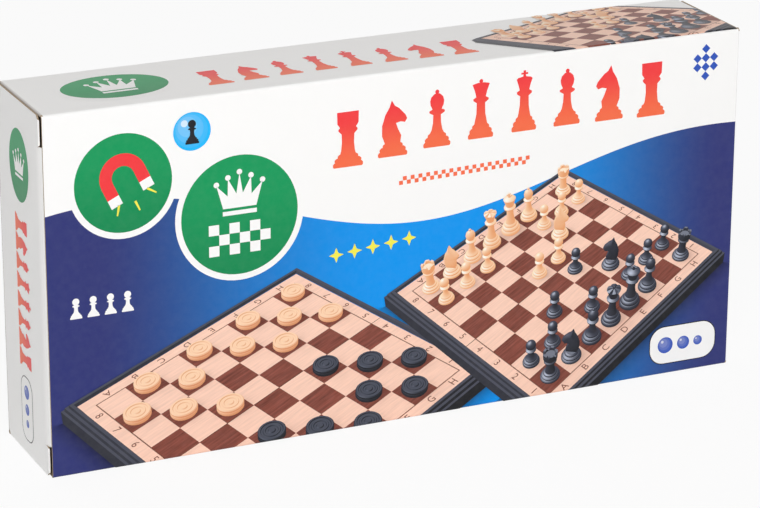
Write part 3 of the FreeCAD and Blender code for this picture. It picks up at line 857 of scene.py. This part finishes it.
def cast_shadow(picture, level):
    """Soft shade that a pictured board throws on the field along its near sides."""
    edge = HALF + BORDER + RIM[-1][0]
    places, normals = [], []
    for index, (here, there) in enumerate(SIDES):
        turns = np.radians(np.linspace(90 * index - 180, 90 * index - 90, 9))
        normals += [*np.stack([np.cos(turns), np.sin(turns)], 1)]
        normals += normals[-1:] * 24
        places += [here] * 9
        places += [*(here + (there - here) * np.linspace(0, 1, 25)[1:, None])]
    places, normals = np.array(places + places[:1]) * edge, np.array(normals + normals[:1])
    fade = np.linspace(0, 1, SHADOW_ROWS + 1)
    grid = places + normals * SHADOW_WIDTH * fade[:, None, None]
    flat = picture.project(np.insert(grid, 2, RIM[-1][1], -1))[..., :2]
    near = np.clip(normals @ SHADOW_CORNER * 1.6, 0, 1)
    depth = SHADOW_DARK * (1 - fade[:, None]) ** 1.5 * near
    block = quads(corners(flat, field_colour(flat) * (1 - depth[..., None]), level * PLY))
    shaded = depth[:-1, :-1].ravel() + depth[:-1, 1:].ravel() > 0.01
    picture.target.add(block[shaded][:, ::-1])


def paper_with_painted_fold_shade(rim):
    """White that turns to a painted grey shade where the print goes round the rim's two folds."""
    def colour(points):
        u = points[..., 0]
        low = (rim.flat[0] - u) / (rim.flat[0] - rim.window[0])
        high = (u - rim.flat[1]) / (rim.window[1] - rim.flat[1])
        return mixed(PAPER, PAINTED_FOLD_SHADE, np.clip(np.maximum(low, high), 0, 1) ** 0.7)
    return colour


# Motifs on the faces: places from the lower left corner, then sizes, numbers of cells and turns in degrees
LARGE = (
    (badge, (28, 103), 17.5),
    (horseshoe, (28, 105), 8.5),
    (badge, (70, 86), 21.5),
    (crown, (70, 93), 8.5),
    (chequered, (58.5, 72), 3.8, 6, 3, 0, PAPER, ON_BADGE),
    (glossy_ball, (53, 118), 6.8, SKY, ON_GROUND),
    (pawns, (53, 113.6), 0, 8.6, 1, INK_BLACK, ON_BADGE + 1),
    (red_row, (102, 97), (238, 101), 23, 3.0),
    (chequered, (130, 88.5), 1.5, 34, 2, 1.5, ORANGE),
    (stars, (106, 66), (7, 0.6), (2.8, 1.1), 5),
    (pawns, (10, 57), 6.2, 7.5, 4, PAPER, ON_GROUND),
    (ball_plaque, (246, 11.5), (14, 7.5), ON_GROUND + 1),
    (chequered, (251.5, 112), 2.4, 4, 4, 45, BALL_BLUE))
NARROW = (
    (badge, (34, DEPTH / 2), (19, 13)),
    (crown, (34, DEPTH / 2), 8.5),
    (red_row, (62, 10), (168, 10), 19, 2.0))
END_MIDDLE = left_panels[0].width / 2
END = (
    (badge, (END_MIDDLE, 106), (10, 13)),
    (crown, (END_MIDDLE, 106), 5.5),
    (red_row, (END_MIDDLE - 6, 88), (END_MIDDLE - 6, 32), 14, 0.0, -90),
    (ball_plaque, (END_MIDDLE, 17), (12, 6), ON_GROUND, -90))
DRAUGHTS_VIEW = {"centre": (84, 20), "square": 12.2, "turn": 39, "tilt": 40}
CHESS_VIEW = {"centre": (193, 47), "square": 10.2, "turn": 43, "tilt": 43}
TOP_VIEW = {"centre": (226, 21), "square": 8.6, "turn": 38, "tilt": 36}
DRAUGHTS_SHADOW, CHESS_SHADOW = 2.4, 2.0


def ground_print(panel, name, edge=None):
    """The white ground, and below the edge line the blue field."""
    target = Print(panel)
    (u0, u1), (v0, v1) = panel.across.window, panel.upward.window
    if edge:
        us = np.linspace(u0, u1, 134)
        target.ground(us, v0, edge(us), field_colour, 6)
        target.ground(us, edge(us), v1, PAPER, 4)
    else:
        # Painted shade: the white greys over the folds at both ends of the narrow faces
        target.ground(panel.across.cuts(), v0, v1, paper_with_painted_fold_shade(panel.across), 2)
    target.build(name + "_ground_print", "carton")


def with_motifs(panel, table):
    """A print with each of a table's motifs, given as a function and its values."""
    target = Print(panel)
    for motif, *values in table:
        motif(target, *values)
    return target


def large_face(panel, name):
    """The front's print, which the back repeats."""
    ground_print(panel, name, wave)
    with_motifs(panel, LARGE).build(name + "_motif_print", "carton")

    boards = Print(panel)
    for view, shadow, men in ((DRAUGHTS_VIEW, DRAUGHTS_SHADOW, draughts_men()),
                              (CHESS_VIEW, CHESS_SHADOW, chess_men())):
        picture = Picture(boards, **view)
        cast_shadow(picture, shadow)
        pictured_board(picture, men)
    boards.build(name + "_board_print", "carton")


def narrow_face(panel, name, with_board):
    """White print of the top, and of the base without the pictured board."""
    ground_print(panel, name)
    icons = with_motifs(panel, NARROW)
    if with_board:
        pictured_board(Picture(icons, **TOP_VIEW), chess_men())
    icons.build(name + "_motif_print", "carton")


def end_face(panels, name, body):
    """Print of a closure: flat shoulders beside the slits, and between them the bend into the tuck."""
    shoulders, middle = panels
    width, height, bend_start = shoulders.width, shoulders.height, middle.across.flat[1]
    sides = Print(shoulders)
    low = np.array([CLOSURE_CORNER, RAW_EDGE, RAW_EDGE])
    sides.ground([RAW_EDGE, CLOSURE_CORNER, bend_start], low, height - low, PAPER, 2)
    us = [bend_start, width - CLOSURE_CORNER, width - SLIT_CORNER, shoulders.across.window[1]]
    low = np.array([RAW_EDGE, RAW_EDGE, CLOSURE_CORNER / 2, CLOSURE_CORNER])
    slit = np.array([SLIT, SLIT, SLIT, SLIT - SLIT_CORNER])
    sides.ground(us, low, slit, PAPER)
    sides.ground(us, height - slit, height - low, PAPER)
    sides.build(name + "_ground_print", body)

    bend = Print(middle)
    bend.ground([bend_start, middle.across.window[1]], SLIT, height - SLIT, PAPER, 2)
    bend.build(name + "_bend_print", body)

    with_motifs(shoulders, END).build(name + "_motif_print", body)


def crease_board(name, body, ends, toward, inner):
    """Board across the crease between the sleeve and a flap, coated outside and raw inside.

    It reaches from inside the sleeve's panel into the flap's hinge edge. The ends
    are those of the outer line of that edge."""
    one, two = sorted(ends, key=lambda end: end @ np.cross(inner, toward))
    depth = inner * (CARD - 2 * LET_IN)
    ring = np.array([one, two, two + depth, one + depth]) + inner * LET_IN
    steps = np.array([-FLAP_GAP - LET_IN, *np.linspace(-FLAP_GAP, 0, 9), LET_IN])
    points = (ring + toward * steps[:, None, None]).reshape(-1, 3)
    faces = [(0, 3, 2, 1), tuple(range(len(points) - 4, len(points))), *ring_quads(len(steps), 4)]
    piece = new_piece(name, (points * MM).tolist(), faces, varnish)
    coated = np.arange(len(faces)) % 4 == 2
    coated[0] = False
    ink_corners(piece, np.repeat(np.where(coated[:, None], PAPER, BOARD), 4, 0))
    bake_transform(piece)


def crease_boards():
    """The creases of the closures and dust flaps. The right end is the left end turned half round."""
    dust_low, dust_high = box_mm("left_top_dust_flap")
    low, high = closure_low[2] + CLOSURE_CORNER, closure_high[2] - CLOSURE_CORNER
    line = np.array([(left, closure_high[1], low), (left, closure_high[1], high)])
    dust = np.array([(dust_low[0], dust_low[1], dust_high[2]),
                     (dust_low[0], dust_high[1] - CARD / 2, dust_high[2])])
    below = dust * (1, 1, -1) + (0, 0, HEIGHT)
    for side, half_turn in (("left", (1, 1, 1)), ("right", (-1, -1, 1))):
        for name, body, ends, toward in (
                ("closure_crease", "closure", line, -Y), ("top_dust_crease", "top_dust", dust, -Z),
                ("bottom_dust_crease", "bottom_dust", below, Z)):
            lines = (ends * half_turn, toward * half_turn, X * half_turn)
            crease_board(f"{side}_{name}", f"{side}_{body}", *lines)


# Materials
class Nodes:
    """Short ways to add to a node tree. A value may be a number, a colour or another node's output."""

    def __init__(self, tree):
        self.tree = tree

    def feed(self, socket, value):
        if isinstance(value, bpy.types.NodeSocket):
            self.tree.links.new(value, socket)
        elif socket.type == "RGBA" and len(value) == 3:
            socket.default_value = (*value, 1.0)
        else:
            socket.default_value = value

    def add(self, kind, operation=None, **inputs):
        """A node whose inputs are named with underscores for their spaces."""
        made = self.tree.nodes.new("ShaderNode" + kind)
        if operation:
            made.operation = operation
        for name, value in inputs.items():
            self.feed(made.inputs[name.replace("_", " ")], value)
        return made

    def maths(self, operation, a, b=0.0):
        made = self.add("Math", operation)
        self.feed(made.inputs[0], a)
        self.feed(made.inputs[1], b)
        return made.outputs[0]

    def spread(self, value, to_low, to_high, low=0.3, high=0.7):
        """The value's range low to high carried to another range."""
        made = self.add("MapRange", Value=value, From_Min=low, From_Max=high, To_Min=to_low, To_Max=to_high)
        return made.outputs["Result"]

    def blended(self, share, a, b):
        made = self.add("Mix")
        made.data_type = "RGBA"
        for place, value in ((0, share), (6, a), (7, b)):
            self.feed(made.inputs[place], value)
        return made.outputs[2]

    def seen_ray(self):
        """One for rays that show the background: to the camera, in gloss and through glass."""
        path = self.add("LightPath").outputs
        seen = self.maths("MAXIMUM", path["Is Camera Ray"], path["Is Glossy Ray"])
        return self.maths("MAXIMUM", seen, path["Is Transmission Ray"])


class Surface(Nodes):
    """A material in the making, with its shader and the object's coordinates."""

    def __init__(self, name):
        self.material = bpy.data.materials.new(name)
        self.material.use_nodes = True
        super().__init__(self.material.node_tree)
        self.shader = self.tree.nodes["Principled BSDF"]
        self.coordinates = self.add("TexCoord").outputs
        self.place = self.coordinates["Object"]

    def noise(self, scale, detail=4.0, roughness=0.55, vector=None):
        made = self.add("TexNoise", Scale=scale, Detail=detail, Roughness=roughness)
        self.feed(made.inputs["Vector"], vector or self.place)
        return made.outputs["Fac"]

    def streaks(self, vector, stretch, detail=4.0, roughness=0.55):
        """Noise drawn out along the axes of small stretch."""
        stretched = self.add("Mapping", Vector=vector, Scale=stretch).outputs["Vector"]
        return self.noise(1.0, detail, roughness, stretched)

    def set(self, name, value):
        self.feed(self.shader.inputs[name], value)

    def finish(self, colour, roughness, height=None, strength=0.0, distance=0.0):
        """Gives the shader its colour, roughness and bump."""
        self.set("Base Color", colour)
        self.set("Roughness", roughness)
        if height:
            bump = self.add("Bump", Height=height, Strength=strength, Distance=distance)
            self.set("Normal", bump.outputs["Normal"])
        return self.material


def varnished_print():
    """Offset ink on coated board under a gloss varnish, with wood grain where the print asks for it."""
    made = Surface("varnished_print")
    ink, grain = made.add("Attribute"), made.add("Attribute")
    ink.attribute_name, grain.attribute_name = "ink", "grain"
    grain = grain.outputs["Vector"]
    streaks = made.streaks(grain, (0.8, 11.0, 0.0), 5.0, 0.65)
    strength = made.add("SeparateXYZ", Vector=grain).outputs["Z"]
    depth = made.maths("MULTIPLY", made.spread(streaks, -0.42, 0.34, 0.32, 0.68), strength)
    gain = made.maths("ADD", depth, 1.0)
    grained = made.add("VectorMath", "SCALE", Vector=ink.outputs["Color"], Scale=gain)
    mottle = made.spread(made.noise(420.0, 3.0), 0.0, 0.012)
    colour = made.blended(mottle, grained.outputs[0], (0.9, 0.9, 0.88))
    rough = made.spread(made.noise(60.0, 5.0), 0.28, 0.35)
    made.set("Specular IOR Level", 0.14)
    return made.finish(colour, rough, made.noise(900.0), 0.05, 0.0004)


varnish = varnished_print()


def raw_card(name, outward=None):
    """Unprinted grey-brown board with fibres, coated white on the outward side of a flap."""
    made = Surface(name)
    fibres = made.noise(1400.0, 6.0, 0.7)
    patches = made.noise(90.0, 3.0)
    pale, brown, dark = linear([(196, 178, 152), (150, 128, 104), (134, 116, 96)])
    board = made.blended(made.spread(fibres, 0.0, 1.0, 0.35, 0.65), brown, pale)
    board = made.blended(made.spread(patches, 0.0, 0.35), board, dark)
    if outward:
        facing = made.add("VectorMath", "DOT_PRODUCT", Vector=made.coordinates["Normal"])
        made.feed(facing.inputs[1], outward)
        coated = made.spread(facing.outputs["Value"], 0.0, 1.0, 0.6, 0.8)
        board = made.blended(coated, board, PAPER * 0.94)
    return made.finish(board, made.spread(fibres, 0.72, 0.95), fibres, 0.35, 0.0003)


def moulded(name, colour, roughness, pale=0.1):
    """Moulded plastic with faint flow marks and a fine spark-eroded texture."""
    made = Surface(name)
    colour = linear(colour)
    flow = made.spread(made.noise(28.0, 3.0), 0.0, pale)
    fine = made.noise(700.0)
    rough = made.spread(fine, roughness - 0.06, roughness + 0.10)
    tone = made.blended(flow, colour, np.minimum(colour * 1.6 + 0.02, 1))
    return made.finish(tone, rough, fine, 0.12, 0.0002)


def rolled_steel(name):
    """Steel with the lines of its rolling along X."""
    made = Surface(name)
    lines = made.streaks(made.place, (12.0, 900.0, 900.0))
    made.set("Metallic", 1.0)
    tone = made.blended(lines, *linear([(150, 152, 156), (196, 198, 202)]))
    return made.finish(tone, made.spread(lines, 0.28, 0.46), lines, 0.1, 0.0001)


def foam(name):
    """Dark foam with open cells, with painted shade in each cell's hollow and paler walls."""
    made = Surface(name)
    cells = made.add("TexVoronoi", Vector=made.place, Scale=900.0).outputs["Distance"]
    # Painted shade: darker in the middle of each cell, paler towards its walls
    tone = made.blended(made.spread(cells, 0.0, 1.0, 0.0, 0.6), *linear([(34, 34, 38), (78, 78, 84)]))
    return made.finish(tone, 0.92, cells, 0.6, 0.0006)


def playing_sheet(name):
    """Chequered sheet, eight files along X and four ranks up Z on each half, in a cream border."""
    made = Surface(name)
    place = made.add("Mapping", Vector=made.place, Location=(0, 0, -FOLD_HEIGHT * MM)).outputs["Vector"]
    squares = made.add("TexChecker", Vector=place, Color1=WALNUT, Color2=CREAM, Scale=1 / (SQUARE * MM))
    parts = made.add("SeparateXYZ", Vector=place).outputs
    out = made.maths("MAXIMUM", made.maths("ABSOLUTE", parts["X"]), parts["Z"])
    edge = HALF * SQUARE * MM
    tone = made.blended(made.maths("GREATER_THAN", out, edge), squares.outputs["Color"], FRAME_LINE)
    tone = made.blended(made.maths("GREATER_THAN", out, edge + SHEET_LINE * MM), tone, CREAM)
    streaks = made.streaks(place, (50.0, 50.0, 900.0), 5.0)
    tone = made.blended(made.spread(streaks, 0.0, 0.35, 0.35, 0.65), tone, WALNUT * 0.6)
    return made.finish(tone, made.spread(streaks, 0.3, 0.4))


def dress_nodes():
    """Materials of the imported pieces. A closed flap's board is coated on the side that faces out."""
    outward = {"left_tuck_flap": (0, -1, 0), "right_tuck_flap": (0, 1, 0)}
    for side, out in (("left", -1), ("right", 1)):
        for part in ("closure_panel", "top_dust_flap", "bottom_dust_flap"):
            outward[f"{side}_{part}"] = (out, 0, 0)
    slots = {part["node"]: part["material_slot"] for part in frame["record"]["subparts"]}
    shared = {
        "case_plastic": moulded("case_plastic", (38, 40, 46), 0.42),
        "plate_steel": rolled_steel("plate_steel"),
        "playing_sheet": playing_sheet("playing_sheet"),
        "foam": foam("foam"),
        "ivory_plastic": moulded("ivory_plastic", (244, 220, 180), 0.28, 0.06),
        "black_plastic": moulded("black_plastic", (34, 36, 44), 0.26),
        "magnet": moulded("magnet", (58, 54, 52), 0.7, 0.2),
        "printed_card": raw_card("raw_card")}
    for name, piece in frame["nodes"].items():
        material = raw_card("card_" + name, outward[name]) if name in outward else shared[slots[name]]
        piece.data.materials.clear()
        piece.data.materials.append(material)


# Stage, light and camera: places and sizes in metres, power in watts
FLOOR = 6.0
AIM = Vector((0, 0, 0.06))
LAMPS = {
    "key": ((-0.6, -1.6, 1.12), (1.1, 0.9), 22.4),
    "fill": ((1.6, -1.4, 1.0), (1.2, 1.2), 4),
    "back": ((-0.6, 2.2, 0.7), (1.4, 0.8), 6)}
CAMERA_PLACE = (-0.4622, -1.0158, 0.4532)
CAMERA_AZIMUTH, CAMERA_ELEVATION, CAMERA_ROLL = 24.51, 19.62, 0.19
FOCAL_PIXELS, FRAME_PIXELS, SENSOR = 3305.0, 760.0, 36.0


def stage():
    """Pale floor that shows to the camera with little shade."""
    made = Surface("pale_floor")
    made.set("Specular IOR Level", 0.1)
    made.finish((0.93, 0.93, 0.93), 0.9)
    seen = made.add("MixShader", Fac=made.spread(made.seen_ray(), 0.0, 0.9, 0.0, 1.0))
    made.feed(seen.inputs[1], made.shader.outputs[0])
    made.feed(seen.inputs[2], made.add("Emission", Color=(1, 1, 1), Strength=1.0).outputs[0])
    made.feed(made.tree.nodes["Material Output"].inputs["Surface"], seen.outputs[0])
    floor = new_piece("floor", [(*corner * FLOOR, 0) for corner in CORNERS], [(0, 1, 2, 3)], made.material)


def lights():
    world = bpy.data.worlds.new("studio")
    bpy.context.scene.world = world
    world.use_nodes = True
    made = Nodes(world.node_tree)
    background = world.node_tree.nodes["Background"]
    made.feed(background.inputs["Color"], (1.0, 0.98, 0.97))
    made.feed(background.inputs["Strength"], made.spread(made.seen_ray(), 0.36, 1.0, 0.0, 1.0))
    for name, (place, size, power) in LAMPS.items():
        data = bpy.data.lights.new(name, "AREA")
        data.shape = "RECTANGLE"
        data.size, data.size_y = size
        data.energy = power
        lamp = bpy.data.objects.new(name, data)
        lamp.location = place
        lamp.rotation_euler = (AIM - Vector(place)).to_track_quat("-Z", "Y").to_euler()
        bpy.context.scene.collection.objects.link(lamp)


def camera():
    """Camera at the photograph's angle."""
    data = bpy.data.cameras.new("camera")
    data.sensor_width = SENSOR
    data.lens = SENSOR * FOCAL_PIXELS / FRAME_PIXELS
    lens = bpy.data.objects.new("camera", data)
    turn = Matrix.Rotation(math.radians(-CAMERA_AZIMUTH), 4, "Z")
    turn @= Matrix.Rotation(math.radians(90 - CAMERA_ELEVATION), 4, "X")
    turn @= Matrix.Rotation(math.radians(CAMERA_ROLL), 4, "Z")
    lens.matrix_world = Matrix.Translation(CAMERA_PLACE) @ turn
    bpy.context.scene.collection.objects.link(lens)
    bpy.context.scene.camera = lens


large_face(front_panel, "front")
large_face(back_panel, "back")
narrow_face(top_panel, "top", True)
narrow_face(bottom_panel, "base", False)
end_face(left_panels, "left_end", "left_closure")
end_face(right_panels, "right_end", "right_closure")
crease_boards()
dress_nodes()
stage()
lights()
camera()
bpy.context.scene.view_settings.view_transform = "Standard"
